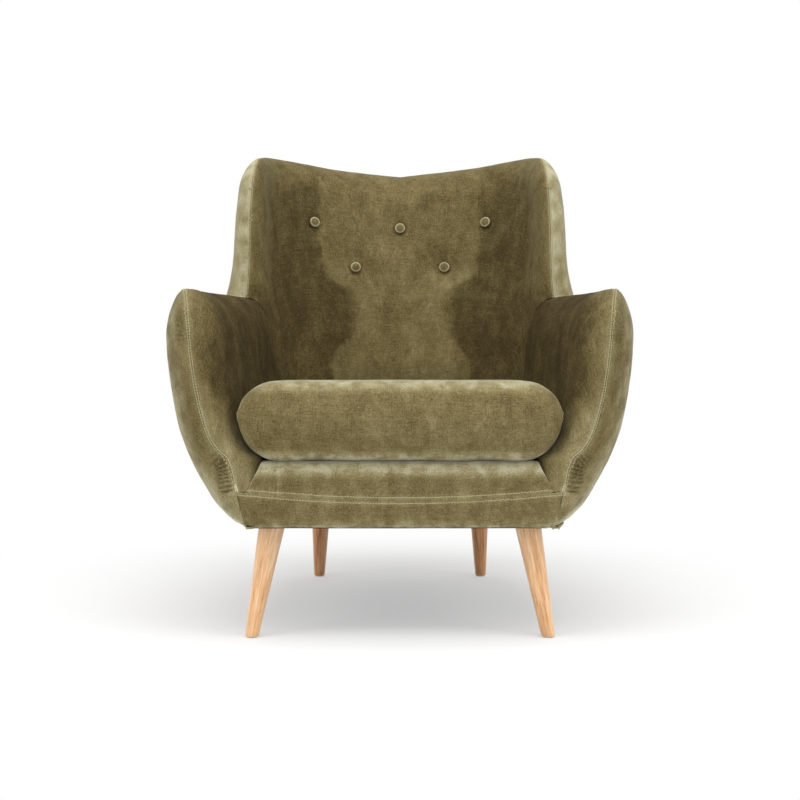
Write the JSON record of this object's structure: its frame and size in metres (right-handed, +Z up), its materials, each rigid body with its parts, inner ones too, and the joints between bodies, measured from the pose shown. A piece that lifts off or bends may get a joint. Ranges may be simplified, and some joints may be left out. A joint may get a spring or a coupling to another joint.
{
  "type": "upholstered high-back wing armchair",
  "caption": "High-back armchair with a wrap-round upholstered shell, small wings, a button-tufted inside back, a loose seat cushion and splayed round tapered wooden legs.",
  "frame": {"origin": "on the floor under the middle of the chair's outline", "axes": "+Z up; the sitter faces -Y, so the back is at +Y; +X is the chair's width, towards the right of the picture"},
  "size_m": [0.7896, 0.7683, 0.8759],
  "materials": {
    "velvet_panels": "cut-pile olive velvet, matt with a soft sheen at grazing angles",
    "deck_cloth": "plain olive lining, matt",
    "dust_cloth": "thin black non-woven cloth",
    "upholstery_foam": "cut polyurethane foam, matt",
    "hessian": "coarse brown weave",
    "button_steel": "pressed, plain",
    "frame_timber": "sawn beech, unfinished",
    "spring_steel": "drawn wire, oiled",
    "webbing": "elastic webbing, matt",
    "velvet_cushion": "cut-pile olive velvet, matt with a soft sheen at grazing angles",
    "cushion_core": "cut polyurethane foam, matt",
    "zip_cloth": "woven zip tape, matt",
    "zip_metal": "antique finish, satin",
    "leg_timber": "oak, clear satin lacquer",
    "glide_plastic": "moulded",
    "zinc_steel": "zinc plated"
  },
  "bodies": {
    "chair": {"inside_back_cover": "velvet_panels", "inside_arm_cover_left": "velvet_panels", "inside_arm_cover_right": "velvet_panels", "outside_arm_cover_left": "velvet_panels", "outside_arm_cover_right": "velvet_panels", "outside_back_cover": "velvet_panels", "front_band_upper": "velvet_panels", "front_band_lower": "velvet_panels", "back_buttons": "velvet_panels", "deck_cover": "deck_cloth", "dust_cover": "dust_cloth", "back_foam": "upholstery_foam", "arm_foam_left": "upholstery_foam", "arm_foam_right": "upholstery_foam", "front_band_pad": "upholstery_foam", "deck_foam": "upholstery_foam", "spring_hessian": "hessian", "button_plates": "button_steel", "front_rail": "frame_timber", "rear_rail": "frame_timber", "side_rail_left": "frame_timber", "side_rail_right": "frame_timber", "rear_corner_rail_left": "frame_timber", "rear_corner_rail_right": "frame_timber", "leg_blocks": "frame_timber", "arm_front_post_left": "frame_timber", "arm_front_post_right": "frame_timber", "arm_rear_block_left": "frame_timber", "arm_rear_block_right": "frame_timber", "arm_top_rail_left": "frame_timber", "arm_top_rail_right": "frame_timber", "wing_board_left": "frame_timber", "wing_board_right": "frame_timber", "back_post_left": "frame_timber", "back_post_right": "frame_timber", "back_top_rail": "frame_timber", "back_mid_rail": "frame_timber", "back_low_rail": "frame_timber", "seat_springs": "spring_steel", "spring_clips": "spring_steel", "back_webbing": "webbing", "leg_front_left": "leg_timber", "leg_front_right": "leg_timber", "leg_rear_left": "leg_timber", "leg_rear_right": "leg_timber", "foot_glides": "glide_plastic", "leg_bolts": "zinc_steel", "leg_plates": "zinc_steel", "plate_screws": "zinc_steel"},
    "seat_cushion": {"cushion_cover": "velvet_cushion", "cushion_end_left": "velvet_cushion", "cushion_end_right": "velvet_cushion", "cushion_back_band": "velvet_cushion", "cushion_foam": "cushion_core", "zip_tapes": "zip_cloth", "zip_teeth": "zip_metal"},
    "zip_slider": {"zip_slider": "zip_metal"},
    "zip_pull": {"zip_pull": "zip_metal"}
  },
  "joints": [
    {"name": "cushion_lift", "type": "slide", "parent": "chair", "child": "seat_cushion", "axis": [0, 0, 1], "range_m": [0, 0.6]},
    {"name": "zip_slide", "type": "slide", "parent": "seat_cushion", "child": "zip_slider", "axis": [1, 0, 0], "range_m": [0, 0.18]},
    {"name": "zip_pull_hinge", "type": "hinge", "parent": "zip_slider", "child": "zip_pull", "pos_m": [-0.09, 0.1295, 0.3683], "axis": [1, 0, 0], "range_deg": [0, 80]}
  ]
}
